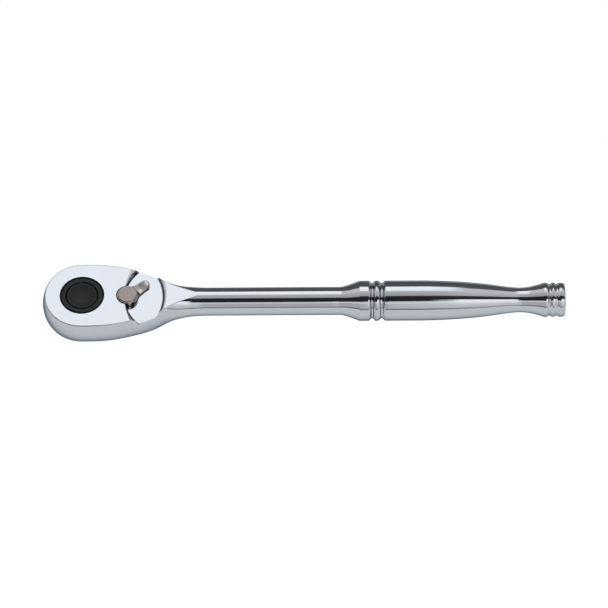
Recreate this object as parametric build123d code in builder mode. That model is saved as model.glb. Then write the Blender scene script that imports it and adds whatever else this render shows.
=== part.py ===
from build123d import *
from math import asin, degrees, sqrt
import os

os.makedirs("parts", exist_ok=True)

# A 3/8 inch drive reversible ratchet with a pear head and a quick-release button.
# Frame: origin at the centre of the drive square's end face, +Z up through the
# drive axis, +X along the handle. All sizes are millimetres.

# ---- Driving dimensions ----
OVERALL = 200.0            # left end of the head to the end of the handle
HANDLE_Z = 17.0            # height of the handle's axis
SQUARE = 9.525             # 3/8 inch drive square, across flats
HEAD_TOP = 21.9
HEAD_BOTTOM = 11.0
HEAD_R = 14.15             # edge of the head's face, about the drive axis
BARREL = 1.15              # how far the head's side wall bulges past that edge
SHAFT_R = 5.4
GRIP_R = 7.7
TEETH = 60
PIVOT_X = 17.3             # axis of the reversing lever and the pawl
LEVER_REST = 39.0          # the lever's angle from +X at rest
LEVER_SWING = 78.0         # its travel to the other setting
PAWL_ROCK = 3.2            # pawl's turn from the middle to either setting
PRESS = 1.8                # travel of the release button

# ---- Running clearances ----
FIT = 0.05                 # radial clearance of shafts in bores
CLOSE_FIT = 0.02           # radial clearance of pieces that don't turn on each other
GAP = 0.1                  # axial clearance of the inner pieces

# ---- Head and neck ----
HEAD_MID = (HEAD_TOP + HEAD_BOTTOM) / 2
NECK_END = 48.0
RAMP_START = 26.0          # where the head's flats start to slope to the shaft
RAMP_END = 44.5
TOP_RISE = 0.56
BOTTOM_RISE = 0.64
# plan half-widths along the head: place, at the face, and at mid height
STATIONS = [
    (-4.0, 14.12, 15.27),
    (0.0, HEAD_R, HEAD_R + BARREL),
    (4.0, 14.12, 15.27),
    (8.0, 13.93, 15.08),
    (12.0, 13.42, 14.57),
    (16.0, 12.6, 13.75),
    (20.0, 11.55, 12.7),
    (24.0, 10.3, 11.45),
    (28.0, 8.6, 9.8),
    (32.0, 6.1, 7.8),
    (36.0, 3.9, 6.6),
]
# round sections of the neck: place, radius, height of the centre
NECK_ROUNDS = [
    (40.0, 5.87, 16.8),
    (44.0, 5.53, 16.95),
    (NECK_END, SHAFT_R, HANDLE_Z),
    (52.0, SHAFT_R, HANDLE_Z),
]

# ---- Handle: shaft, collar, grip and end knob ----
FLARE_X = 98.9
COLLAR_X = 105.8
TAPER_X = 132.0
KNOB_X = 176.6
KNOB_R = 6.6
END_X = OVERALL - HEAD_R - BARREL
END_ROUND = 1.2
END_ROUND_X = END_X - 1.3
END_FACE_R = KNOB_R - 1.0
# the collar's flare, and the grip's waist: place, radius
FLARE = [
    (FLARE_X, SHAFT_R),
    (102.4, 6.35),
    (COLLAR_X, GRIP_R),
]
WAIST = [
    (TAPER_X, GRIP_R),
    (144.4, 7.2),
    (156.0, 6.05),
    (167.5, 4.8),
    (173.0, 5.5),
    (KNOB_X, KNOB_R),
]
# grooves: place, radius of the surface there, width, depth
GROOVES = [
    (110.85, GRIP_R, 2.6, 1.05),
    (114.55, GRIP_R, 2.5, 1.0),
    (178.8, KNOB_R, 2.0, 0.6),
    (181.5, KNOB_R, 1.8, 0.5),
]

# ---- Inner cavity of the head ----
COVER_T = 1.6
COVER_TOP = HEAD_BOTTOM + COVER_T
COVER_INSET = 0.85         # from the edge of the head's face
COVER_SIDE_END = 24.0
COVER_END = 30.0
HOLLOW_R = 3.8             # hollow over the spindle's end
HOLLOW_DEPTH = 1.0
FLOOR_Z = COVER_TOP + GAP                # underside of the gear's teeth and the pawl
TEETH_TOP = 18.2
ROOF_Z = TEETH_TOP + GAP
TIP_R = 10.0
ROOT_R = 9.45
CAVITY_R = 10.35
PAWL_X = 11.6
PAWL_R = 9.15
POCKET_R = 9.65
PAWL_CLEAR_R = 10.95       # the pawl's inner face between its toothed ends
ARM_FROM = 30.0            # the toothed ends' angles about the drive axis
ARM_TO = 48.0
ARM_OUT_R = PAWL_CLEAR_R + 0.3
TOOTH_GAP = 0.06

# ---- Drive gear ----
HUB_R = 8.5
HUB_BREAK = 0.2
SQUARE_CORNER = 0.6        # chamfer along the square's corners
SQUARE_LEAD = 0.5          # chamfer round its end
NECK_R = 7.6
SHOULDER_Z = 10.7
BUTTON_BORE_R = 6.1
BORE_RIM = 0.3             # chamfer round the button
BUTTON_SEAT_Z = 17.2
SPRING_BORE_R = 4.1
SPRING_SEAT_Z = 13.5
PIN_R = 1.75
PIN_BORE_R = PIN_R + FIT
PIN_BORE_END = 1.0
PIN_LOW = 3.2
PIN_TOP = 20.5
PIN_BREAK = 0.3
PIN_WAIST_R = 1.23
RAMP_LOW_Z = 4.8
BUTTON_R = 6.0
BUTTON_TOP = 21.75
BUTTON_UNDER = 19.6
BUTTON_BREAK = 0.35
BUTTON_BOSS_R = 2.4
BOSS_LOW = 17.5
DISH = 0.35
DISH_R = 5.3
BALL_R = 1.75
BALL_Z = 5.0
BALL_OUT = 3.52            # the ball's centre from the drive axis, at rest
BALL_LIP = 0.6125          # the part of the ball's hole that closes in to hold it
BALL_MOUTH_R = 1.32
WAIST_TOP_Z = BALL_Z + PRESS + 0.9   # the pin's waist ends above the pressed ball
RAMP = 0.2778              # slope of the pin's ramp: the ball's travel per mm of press

# ---- Reversing lever and its spindle ----
LEVER_POCKET_Z = 19.9
POCKET_WALL_X = 11.4       # centre and radius of the wall on the handle's side
POCKET_WALL_R = 19.5
# sloping wall on the button's side: height, and centre and radius of its arc there
POCKET_LEFT = [
    (LEVER_POCKET_Z, 32.1, 15.9),
    (HEAD_TOP + 0.5, 46.975, 30.65),
]
RIM_ROUND = 1.5
RIM_Z = HEAD_TOP + 0.05
RIM_TURN = 40.0
BOSS_BORE_Z = 19.45
BOSS_BORE_R = 4.3
BOSS_R = 4.0
BOSS_BREAK = 0.2
BOSS_Z = (19.5, 22.35)
SPINDLE_R = 2.6
DISC_R = 3.6
DISC_TOP = 22.85
DISC_SEAT = 21.9
SHANK_R = 3.0
SPINDLE_BREAK = 0.15
STUB_R = 2.2
STUB_END = 11.8
RING_SEAT_R = 1.7
PLUNGER_R = 0.8
PLUNGER_OUT = 3.4          # the centre of its round nose from the pivot, at rest
PLUNGER_Z = (FLOOR_Z + TEETH_TOP) / 2
SLOT_HALF = LEVER_SWING / 2 - PAWL_ROCK
SLOT_R = 4.25
PLUNGER_TAIL = 0.6
HOLE_PAST = 1.9            # how far the plunger's hole runs past the spindle's axis
RING_Z = 12.05
RING_T = 0.4
RING_R = 3.3
RING_MOUTH = 2.6
RING_GAP = 0.03            # above and below the ring in its groove
TAB_Z = (20.0, 21.9)
TAB_ROOT = 2.8             # radius about the pivot that the tab's sides spread from
TAB_TIP_X = 8.45
TAB_TIP_R = 1.8
SCOOP_X = 5.6
SCOOP_R = 5.0
SCOOP_DEPTH = 0.6

SCREWS = [(18.5, 9.1), (18.5, -9.1), (26.0, 0.0)]
SCREW_R = 1.0
SCREW_HEAD_R = 1.6
SCREW_TOP = 17.3
SCREW_SINK = 0.05
SCREW_LENGTH = SCREW_TOP - HEAD_BOTTOM - GAP
SCREW_POINT = 0.4
CROSS_LENGTH = 1.7
CROSS_WIDTH = 0.4
CROSS_DEPTH = 0.45

lever_out = Vector(1, 0, 0).rotate(Axis.Z, LEVER_REST)
scoop_axis = lever_out.rotate(Axis.Z, -90)
plunger_out = lever_out.rotate(Axis.Z, 180)
nose_plane = Plane(
    origin=(
        PIVOT_X + PLUNGER_OUT * plunger_out.X,
        PLUNGER_OUT * plunger_out.Y,
        PLUNGER_Z,
    ),
    z_dir=plunger_out,
)
pivot_axis = Axis((PIVOT_X, 0, 0), (0, 0, 1))
handle_axis = Axis((0, 0, HANDLE_Z), (1, 0, 0))


def side_arc(x, a, b):
    """Centre and radius of the arc through the face's edge and the widest point."""
    rise = max(0.0, (x - RAMP_START) / (RAMP_END - RAMP_START)) ** 2
    top = HEAD_TOP + TOP_RISE * rise
    bottom = HEAD_BOTTOM + BOTTOM_RISE * rise
    half = (top - bottom) / 2
    sag = b - a
    radius = (half ** 2 + sag ** 2) / (2 * sag)
    return b - radius, (top + bottom) / 2, radius


def teeth_outline(extra):
    """Corner points of the gear's outline, with its radii larger by extra."""
    pitch = 360 / TEETH
    corners = [(0.6, TIP_R), (2.55, ROOT_R), (3.45, ROOT_R), (5.4, TIP_R)]
    return [
        Vector(radius + extra, 0).rotate(Axis.Z, pitch * tooth + turn)
        for tooth in range(TEETH)
        for turn, radius in corners
    ]


def upright_plane(turn):
    """Upright plane through the wall's centre, turned about it: local x is the distance out, y is z."""
    out = Vector(1, 0, 0).rotate(Axis.Z, turn)
    return Plane(origin=(POCKET_WALL_X, 0, 0), x_dir=out, z_dir=out.rotate(Axis.Z, -90))


def coil(radius, wire, start, end, turns):
    """A round-wire compression spring round the local z axis, from start to end."""
    rise = end - start - 2 * wire
    path = Helix(pitch=rise / turns, height=rise, radius=radius)
    with BuildPart() as spring:
        with BuildSketch(Plane(origin=path @ 0, z_dir=path % 0)):
            Circle(wire)
        sweep(path=path, is_frenet=True)
    return spring.part.moved(Location((0, 0, start + wire)))


# ---- Forged head and handle ----
with BuildPart() as neck:
    for x, a, b in STATIONS:
        y0, z0, radius = side_arc(x, a, b)
        tip = sqrt(radius ** 2 - y0 ** 2)
        with BuildSketch(Plane(origin=(x, 0, z0), x_dir=(0, 1, 0), z_dir=(1, 0, 0))):
            with BuildLine():
                ThreePointArc((0, -tip), (y0 + radius, 0), (0, tip))
                ThreePointArc((0, tip), (-y0 - radius, 0), (0, -tip))
            make_face()
    for x, r, z in NECK_ROUNDS:
        with BuildSketch(Plane(origin=(x, 0, z), x_dir=(0, 1, 0), z_dir=(1, 0, 0))):
            with BuildLine():
                ThreePointArc((0, -r), (r, 0), (0, r))
                ThreePointArc((0, r), (-r, 0), (0, -r))
            make_face()
    loft()
    # the head's flats, which slope gently to run out on the round neck
    with BuildSketch(Plane.XZ) as flats:
        with BuildLine():
            TangentArc((RAMP_START, HEAD_TOP), (RAMP_END, HEAD_TOP + TOP_RISE), tangent=(1, 0))
            Line((RAMP_END, HEAD_TOP + TOP_RISE), (NECK_END, HEAD_TOP + 2 * TOP_RISE))
            Line((NECK_END, HEAD_TOP + 2 * TOP_RISE), (NECK_END, HEAD_BOTTOM))
            Line((NECK_END, HEAD_BOTTOM), (RAMP_END, HEAD_BOTTOM + BOTTOM_RISE / 2))
            Line((RAMP_END, HEAD_BOTTOM + BOTTOM_RISE / 2), (RAMP_START, HEAD_BOTTOM))
            Line((RAMP_START, HEAD_BOTTOM), (0, HEAD_BOTTOM))
            Line((0, HEAD_BOTTOM), (0, HEAD_TOP))
            Line((0, HEAD_TOP), (RAMP_START, HEAD_TOP))
        make_face()
    extrude(amount=2 * HEAD_R, both=True, mode=Mode.INTERSECT)


def cover_outline(grow):
    """Outline of the cover plate, or of its seat in the head when grow is positive."""
    edge = [(x, a - COVER_INSET + grow) for x, a, _ in STATIONS if 0 <= x <= COVER_SIDE_END]
    with BuildSketch(Plane.XY.offset(HEAD_BOTTOM)) as outline:
        with BuildLine():
            side = Spline(*edge, tangents=((1, 0), (1, -0.45)))
            mirror(side, about=Plane.XZ)
            ThreePointArc(edge[-1], (COVER_END + grow, 0), (edge[-1][0], -edge[-1][1]))
            ThreePointArc(edge[0], (-edge[0][1], 0), (0, -edge[0][1]))
        make_face()
    return outline.sketch


# space of the lever pocket: upright wall on the handle's side, sloping wall on the other
with BuildPart() as lever_pocket:
    for z, left_x, left_r in POCKET_LEFT:
        with BuildSketch(Plane.XY.offset(z)):
            with Locations((left_x, 0)):
                Circle(left_r)
    loft(ruled=True)
    with BuildSketch(Plane.XY.offset(LEVER_POCKET_Z)):
        with Locations((POCKET_WALL_X, 0)):
            Circle(POCKET_WALL_R)
    extrude(amount=POCKET_LEFT[1][0] - LEVER_POCKET_Z, mode=Mode.INTERSECT)

with BuildPart() as handle_body:
    # half drum that closes the head's left end
    with BuildSketch(Plane.YZ):
        with BuildLine():
            Polyline((HEAD_R, HEAD_BOTTOM), (0, HEAD_BOTTOM), (0, HEAD_TOP), (HEAD_R, HEAD_TOP))
            ThreePointArc((HEAD_R, HEAD_TOP), (HEAD_R + BARREL, HEAD_MID), (HEAD_R, HEAD_BOTTOM))
        make_face()
    revolve(axis=Axis.Z, revolution_arc=180)
    add(neck.part)
    # shaft, tapered grip and end knob, turned about the handle's axis
    with BuildSketch(Plane.XZ):
        with BuildLine():
            Polyline(
                (END_X, HANDLE_Z + END_FACE_R),
                (END_X, HANDLE_Z),
                (NECK_END, HANDLE_Z),
                (NECK_END, HANDLE_Z + SHAFT_R),
                (FLARE_X, HANDLE_Z + SHAFT_R),
            )
            Spline(*[(x, HANDLE_Z + r) for x, r in FLARE], tangents=((1, 0), (1, 0.35)))
            Line((COLLAR_X, HANDLE_Z + GRIP_R), (TAPER_X, HANDLE_Z + GRIP_R))
            Spline(*[(x, HANDLE_Z + r) for x, r in WAIST], tangents=((1, 0), (1, 0.1)))
            Line((KNOB_X, HANDLE_Z + KNOB_R), (END_ROUND_X, HANDLE_Z + KNOB_R))
            RadiusArc(
                (END_ROUND_X, HANDLE_Z + KNOB_R), (END_X, HANDLE_Z + END_FACE_R), END_ROUND
            )
        make_face()
    revolve(axis=handle_axis)
    # round-bottomed grooves round the grip and the knob
    with BuildSketch(Plane.XZ):
        for x, surface, width, depth in GROOVES:
            round_r = (width ** 2 / 4 + depth ** 2) / (2 * depth)
            with Locations((x, HANDLE_Z + surface + round_r - depth)):
                Circle(round_r)
    revolve(axis=handle_axis, mode=Mode.SUBTRACT)
    # cavity for the gear and the pawl, open below
    with BuildSketch(Plane.XY.offset(HEAD_BOTTOM)):
        Circle(CAVITY_R)
        with Locations((PAWL_X, 0)):
            Circle(POCKET_R)
    extrude(amount=ROOF_Z - HEAD_BOTTOM, mode=Mode.SUBTRACT)
    # seat of the cover plate
    extrude(cover_outline(FIT), amount=COVER_T, mode=Mode.SUBTRACT)
    # bore for the gear's upper hub
    with BuildSketch(Plane.XY.offset(HEAD_TOP)):
        Circle(HUB_R + FIT)
    extrude(amount=ROOF_Z - HEAD_TOP, mode=Mode.SUBTRACT)
    # lever pocket: open at both sides of the head, between two curved walls
    add(lever_pocket.part, mode=Mode.SUBTRACT)
    # rounded rim of the pocket's wall on the handle's side
    with BuildSketch(upright_plane(-RIM_TURN)):
        with BuildLine():
            RadiusArc(
                (POCKET_WALL_R, RIM_Z - RIM_ROUND), (POCKET_WALL_R + RIM_ROUND, RIM_Z), RIM_ROUND
            )
            Polyline(
                (POCKET_WALL_R + RIM_ROUND, RIM_Z),
                (POCKET_WALL_R + RIM_ROUND, RIM_Z + 1),
                (POCKET_WALL_R - 1, RIM_Z + 1),
                (POCKET_WALL_R - 1, RIM_Z - RIM_ROUND),
                (POCKET_WALL_R, RIM_Z - RIM_ROUND),
            )
        make_face()
    revolve(axis=Axis((POCKET_WALL_X, 0, 0), (0, 0, 1)), revolution_arc=2 * RIM_TURN, mode=Mode.SUBTRACT)
    # spindle bore, and the round seat of the lever's boss
    with BuildSketch(Plane.XY.offset(HEAD_TOP)):
        with Locations((PIVOT_X, 0)):
            Circle(BOSS_BORE_R)
    extrude(amount=BOSS_BORE_Z - HEAD_TOP, mode=Mode.SUBTRACT)
    with BuildSketch(Plane.XY.offset(HEAD_TOP)):
        with Locations((PIVOT_X, 0)):
            Circle(SPINDLE_R + FIT)
    extrude(amount=ROOF_Z - HEAD_TOP, mode=Mode.SUBTRACT)
    # blind holes for the cover screws
    with BuildSketch(Plane.XY.offset(COVER_TOP)):
        with Locations(*SCREWS):
            Circle(SCREW_R + CLOSE_FIT)
    extrude(amount=SCREW_TOP - COVER_TOP, mode=Mode.SUBTRACT)
handle_body.part.label = "handle_body"
export_step(handle_body.part, "parts/handle_body.step")

# ---- Cover plate in the underside of the head, and its screws ----
with BuildPart() as cover_plate:
    extrude(cover_outline(0), amount=COVER_T)
    with BuildSketch(Plane.XY.offset(HEAD_BOTTOM)):
        Circle(NECK_R + FIT)
    extrude(amount=COVER_T, mode=Mode.SUBTRACT)
    # round hollow that clears the spindle's end and its ring
    with BuildSketch(Plane.XY.offset(COVER_TOP)):
        with Locations((PIVOT_X, 0)):
            Circle(HOLLOW_R)
    extrude(amount=-HOLLOW_DEPTH, mode=Mode.SUBTRACT)
    with Locations(Plane(origin=(0, 0, HEAD_BOTTOM), x_dir=(1, 0, 0), z_dir=(0, 0, -1))):
        with Locations(*SCREWS):
            CounterSinkHole(radius=SCREW_R + GAP, counter_sink_radius=SCREW_HEAD_R, depth=COVER_T)
cover_plate.part.label = "cover_plate"
export_step(cover_plate.part, "parts/cover_plate.step")

for number, (x, y) in enumerate(SCREWS, 1):
    with BuildPart() as cover_screw:
        with BuildSketch(Plane(origin=(x, y, HEAD_BOTTOM), x_dir=(1, 0, 0), z_dir=(0, -1, 0))):
            with BuildLine():
                Polyline(
                    (0, SCREW_SINK),
                    (SCREW_HEAD_R - SCREW_SINK - CLOSE_FIT, SCREW_SINK),
                    (SCREW_R, SCREW_HEAD_R - SCREW_R - CLOSE_FIT),
                    (SCREW_R, SCREW_LENGTH - SCREW_POINT),
                    (SCREW_R - SCREW_POINT, SCREW_LENGTH),
                    (0, SCREW_LENGTH),
                    close=True,
                )
            make_face()
        revolve(axis=Axis((x, y, 0), (0, 0, 1)))
        # cross recess in the head
        with BuildSketch(Plane.XY.offset(HEAD_BOTTOM)):
            with Locations((x, y)):
                Rectangle(CROSS_LENGTH, CROSS_WIDTH, rotation=30)
                Rectangle(CROSS_WIDTH, CROSS_LENGTH, rotation=30)
        extrude(amount=CROSS_DEPTH, mode=Mode.SUBTRACT)
    cover_screw.part.label = f"cover_screw_{number}"
    export_step(cover_screw.part, f"parts/cover_screw_{number}.step")

# ---- Drive gear: toothed rim, two hubs and the drive square, one piece ----
with BuildPart() as drive_gear:
    with BuildSketch(Plane.XY.offset(FLOOR_Z)):
        Polygon(*teeth_outline(0), align=None)
    extrude(amount=TEETH_TOP - FLOOR_Z)
    with BuildSketch(Plane.XY.offset(TEETH_TOP)):
        Circle(HUB_R)
    extrude(amount=HEAD_TOP - TEETH_TOP)
    chamfer(drive_gear.faces().sort_by(Axis.Z)[-1].edges(), HUB_BREAK)
    with BuildSketch(Plane.XY.offset(SHOULDER_Z)):
        Circle(NECK_R)
    extrude(amount=FLOOR_Z - SHOULDER_Z)
    with BuildSketch():
        Rectangle(SQUARE, SQUARE)
        chamfer(vertices(), SQUARE_CORNER)
    extrude(amount=SHOULDER_Z)
    chamfer(drive_gear.faces().sort_by(Axis.Z)[0].edges(), SQUARE_LEAD)
    # stepped bore for the button, its spring and its pin
    for top, bottom, radius in (
        (HEAD_TOP, BUTTON_SEAT_Z, BUTTON_BORE_R),
        (BUTTON_SEAT_Z, SPRING_SEAT_Z, SPRING_BORE_R),
        (SPRING_SEAT_Z, PIN_BORE_END, PIN_BORE_R),
    ):
        with BuildSketch(Plane.XY.offset(top)):
            Circle(radius)
        extrude(amount=bottom - top, mode=Mode.SUBTRACT)
    rim = drive_gear.faces().sort_by(Axis.Z)[-1].edges().sort_by(SortBy.RADIUS)[0]
    chamfer(rim, BORE_RIM)
    # side hole for the ball, which closes in at the square's face to hold it
    with BuildSketch(Plane.YZ):
        with BuildLine():
            Polyline(
                (0, BALL_Z),
                (0, BALL_Z + BALL_R + FIT),
                (BALL_LIP - SQUARE / 2, BALL_Z + BALL_R + FIT),
                (-SQUARE / 2, BALL_Z + BALL_MOUTH_R),
                (-SQUARE / 2, BALL_Z),
                close=True,
            )
        make_face()
    revolve(axis=Axis((0, 0, BALL_Z), (0, 1, 0)), mode=Mode.SUBTRACT)
drive_gear.part.label = "drive_gear"
export_step(drive_gear.part, "parts/drive_gear.step")

# ---- Quick release: button, pin, spring and ball ----
with BuildPart() as release_button:
    with BuildSketch(Plane.XZ):
        with BuildLine():
            Polyline(
                (0, BUTTON_TOP - DISH),
                (0, BOSS_LOW),
                (BUTTON_BOSS_R, BOSS_LOW),
                (BUTTON_BOSS_R, BUTTON_UNDER),
                (BUTTON_R, BUTTON_UNDER),
                (BUTTON_R, BUTTON_TOP - BUTTON_BREAK),
                (BUTTON_R - BUTTON_BREAK, BUTTON_TOP),
                (DISH_R, BUTTON_TOP),
            )
            TangentArc((0, BUTTON_TOP - DISH), (DISH_R, BUTTON_TOP), tangent=(1, 0))
        make_face()
    revolve(axis=Axis.Z)
    with BuildSketch(Plane.XY.offset(BOSS_LOW)):
        Circle(PIN_R)
    extrude(amount=PIN_TOP - BOSS_LOW, mode=Mode.SUBTRACT)
release_button.part.label = "release_button"
export_step(release_button.part, "parts/release_button.step")

with BuildPart() as release_pin:
    with BuildSketch(Plane.XZ):
        with BuildLine():
            groove_z = RAMP_LOW_Z + (PIN_R - PIN_WAIST_R) / RAMP
            Polyline(
                (0, PIN_LOW),
                (PIN_R - PIN_BREAK, PIN_LOW),
                (PIN_R, PIN_LOW + PIN_BREAK),
                (PIN_R, RAMP_LOW_Z),
                (PIN_WAIST_R, groove_z),
                (PIN_WAIST_R, WAIST_TOP_Z),
                (PIN_R, WAIST_TOP_Z + PIN_R - PIN_WAIST_R),
                (PIN_R, PIN_TOP),
                (0, PIN_TOP),
                close=True,
            )
        make_face()
    revolve(axis=Axis.Z)
release_pin.part.label = "release_pin"
export_step(release_pin.part, "parts/release_pin.step")

button_spring = coil(
    radius=3.4, wire=0.3, start=SPRING_SEAT_Z, end=BUTTON_UNDER, turns=4.5
)
button_spring.label = "button_spring"
export_step(button_spring, "parts/button_spring.step")

with BuildPart(Plane(origin=(0, -BALL_OUT, BALL_Z))) as socket_detent_ball:
    Sphere(BALL_R)
socket_detent_ball.part.label = "socket_detent_ball"
export_step(socket_detent_ball.part, "parts/socket_detent_ball.step")

# ---- Pawl: two toothed arms that rock about the spindle ----
# Its plane lies at the pivot, turned with the pawl, so the gear's centre is at
# (-PIVOT_X, 0) when the pawl is in its middle position.
with BuildPart() as pawl:
    turned = Vector(1, 0, 0).rotate(Axis.Z, PAWL_ROCK)
    with BuildSketch(Plane(origin=(PIVOT_X, 0, FLOOR_Z), x_dir=turned, z_dir=(0, 0, 1))):
        with Locations((PAWL_X - PIVOT_X, 0)):
            Circle(PAWL_R)
        with Locations((-PIVOT_X, 0)):
            Circle(PAWL_CLEAR_R, mode=Mode.SUBTRACT)
        # the arms' toothed ends
        for side in (1, -1):
            with BuildLine():
                low = Vector(1, 0).rotate(Axis.Z, side * ARM_FROM)
                high = Vector(1, 0).rotate(Axis.Z, side * ARM_TO)
                gear_centre = Vector(-PIVOT_X, 0)
                Polyline(
                    gear_centre + low * ROOT_R,
                    gear_centre + low * ARM_OUT_R,
                    gear_centre + high * ARM_OUT_R,
                    gear_centre + high * ROOT_R,
                    close=True,
                )
            make_face()
        for side in (1, -1):
            place = Vector(-PIVOT_X, 0).rotate(Axis.Z, -side * PAWL_ROCK)
            with Locations(Location((place.X, place.Y, 0), (0, 0, -side * PAWL_ROCK))):
                Polygon(*teeth_outline(TOOTH_GAP), align=None, mode=Mode.SUBTRACT)
        Circle(SPINDLE_R + FIT, mode=Mode.SUBTRACT)
        # slot that the plunger's nose runs in, with a round pocket at each end
        with BuildLine():
            ends = [Vector(PLUNGER_OUT, 0).rotate(Axis.Z, 180 + side * SLOT_HALF) for side in (1, -1)]
            scale = SLOT_R / PLUNGER_OUT
            Line((0, 0), ends[0] * scale)
            ThreePointArc(ends[0] * scale, (-SLOT_R, 0), ends[1] * scale)
            Line(ends[1] * scale, (0, 0))
        make_face(mode=Mode.SUBTRACT)
        for side, end in zip((1, -1), ends):
            with Locations(end):
                Circle(PLUNGER_R + FIT, mode=Mode.SUBTRACT)
            with Locations(Location((end.X / 2, end.Y / 2, 0), (0, 0, side * SLOT_HALF))):
                Rectangle(PLUNGER_OUT, 2 * (PLUNGER_R + FIT), mode=Mode.SUBTRACT)
    extrude(amount=TEETH_TOP - FLOOR_Z)
pawl.part.label = "pawl"
export_step(pawl.part, "parts/pawl.step")

# ---- Reversing lever, its spindle, and the ring that holds them ----
with BuildPart() as lever_spindle:
    with BuildSketch(Plane(origin=(PIVOT_X, 0, 0), x_dir=(1, 0, 0), z_dir=(0, -1, 0))):
        with BuildLine():
            Polyline(
                (0, STUB_END),
                (STUB_R - SPINDLE_BREAK, STUB_END),
                (STUB_R, STUB_END + SPINDLE_BREAK),
                (STUB_R, RING_Z),
                (RING_SEAT_R, RING_Z),
                (RING_SEAT_R, RING_Z + RING_T + 2 * RING_GAP),
                (STUB_R, RING_Z + RING_T + 2 * RING_GAP),
                (STUB_R, FLOOR_Z),
                (SPINDLE_R, FLOOR_Z),
                (SPINDLE_R, BOSS_Z[0]),
                (0, BOSS_Z[0]),
                close=True,
            )
        make_face()
    revolve(axis=pivot_axis)
    # two-sided shank that turns with the lever
    with BuildSketch(Plane(origin=(PIVOT_X, 0, BOSS_Z[0]), x_dir=lever_out, z_dir=(0, 0, 1))):
        Circle(SHANK_R)
        Rectangle(2 * SHANK_R, 2 * SPINDLE_R, mode=Mode.INTERSECT)
    extrude(amount=DISC_SEAT - BOSS_Z[0])
    # round head that shows in the lever's boss
    with BuildSketch(Plane(origin=(PIVOT_X, 0, DISC_SEAT))):
        Circle(DISC_R)
    extrude(amount=DISC_TOP - DISC_SEAT)
    chamfer(lever_spindle.faces().sort_by(Axis.Z)[-1].edges(), SPINDLE_BREAK)
    # cross hole for the plunger and its spring
    with BuildSketch(Plane(origin=(PIVOT_X, 0, PLUNGER_Z), z_dir=plunger_out).offset(-HOLE_PAST)):
        Circle(PLUNGER_R + FIT)
    extrude(amount=HOLE_PAST + SPINDLE_R + 1, mode=Mode.SUBTRACT)
lever_spindle.part.label = "lever_spindle"
export_step(lever_spindle.part, "parts/lever_spindle.step")

with BuildPart() as reversing_lever:
    with BuildSketch(Plane(origin=(PIVOT_X, 0, TAB_Z[0]), x_dir=lever_out, z_dir=(0, 0, 1))):
        # the tab narrows from the boss to its round tip, along two common tangents
        with BuildLine():
            lean = degrees(asin((TAB_ROOT - TAB_TIP_R) / TAB_TIP_X))
            normal = Vector(0, 1).rotate(Axis.Z, -lean)
            tip = Vector(TAB_TIP_X, 0)
            low = Vector(normal.X, -normal.Y)
            Polyline(tip + normal * TAB_TIP_R, normal * TAB_ROOT, low * TAB_ROOT, tip + low * TAB_TIP_R)
            ThreePointArc(
                tip + low * TAB_TIP_R, tip + Vector(TAB_TIP_R, 0), tip + normal * TAB_TIP_R
            )
        make_face()
    extrude(amount=TAB_Z[1] - TAB_Z[0])
    # scoop between the boss and the tab's tip
    with BuildSketch(Plane(origin=(PIVOT_X, 0, 0), x_dir=lever_out, z_dir=scoop_axis)):
        with Locations((SCOOP_X, TAB_Z[1] + SCOOP_R - SCOOP_DEPTH)):
            Circle(SCOOP_R)
    extrude(amount=2 * TAB_ROOT, both=True, mode=Mode.SUBTRACT)
    with BuildSketch(Plane(origin=(PIVOT_X, 0, BOSS_Z[0]))):
        Circle(BOSS_R)
    extrude(amount=BOSS_Z[1] - BOSS_Z[0])
    chamfer(reversing_lever.faces().sort_by(Axis.Z)[-1].edges(), BOSS_BREAK)
    with BuildSketch(Plane(origin=(PIVOT_X, 0, DISC_SEAT))):
        Circle(DISC_R + FIT)
    extrude(amount=BOSS_Z[1] - DISC_SEAT, mode=Mode.SUBTRACT)
    with BuildSketch(Plane(origin=(PIVOT_X, 0, BOSS_Z[0]), x_dir=lever_out, z_dir=(0, 0, 1))):
        Circle(SHANK_R + CLOSE_FIT)
        Rectangle(3 * SHANK_R, 2 * (SPINDLE_R + CLOSE_FIT), mode=Mode.INTERSECT)
    extrude(amount=DISC_SEAT - BOSS_Z[0], mode=Mode.SUBTRACT)
reversing_lever.part.label = "reversing_lever"
export_step(reversing_lever.part, "parts/reversing_lever.step")

with BuildPart() as lever_retaining_ring:
    with BuildSketch(Plane(origin=(PIVOT_X, 0, RING_Z + RING_GAP), x_dir=lever_out, z_dir=(0, 0, 1))):
        Circle(RING_R)
        Circle(RING_SEAT_R + CLOSE_FIT, mode=Mode.SUBTRACT)
        with Locations((RING_R, 0)):
            Rectangle(2 * RING_R, RING_MOUTH, mode=Mode.SUBTRACT)
    extrude(amount=RING_T)
lever_retaining_ring.part.label = "lever_retaining_ring"
export_step(lever_retaining_ring.part, "parts/lever_retaining_ring.step")

# ---- Plunger that snaps the pawl over, and its spring, in the spindle ----
with BuildPart() as pawl_plunger:
    with BuildSketch(nose_plane.offset(PLUNGER_TAIL - PLUNGER_OUT)):
        Circle(PLUNGER_R)
    extrude(amount=PLUNGER_OUT - PLUNGER_TAIL)
    with Locations(nose_plane):
        Sphere(PLUNGER_R)
pawl_plunger.part.label = "pawl_plunger"
export_step(pawl_plunger.part, "parts/pawl_plunger.step")

plunger_spring = coil(radius=0.55, wire=0.12, start=-HOLE_PAST, end=PLUNGER_TAIL, turns=6)
plunger_spring = Plane(origin=(PIVOT_X, 0, PLUNGER_Z), z_dir=plunger_out).location * plunger_spring
plunger_spring.label = "plunger_spring"
export_step(plunger_spring, "parts/plunger_spring.step")
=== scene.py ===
import bpy
import bmesh
from math import asin, atan2, cos, pi, radians, sin, sqrt
from mathutils import Matrix, Vector


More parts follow.
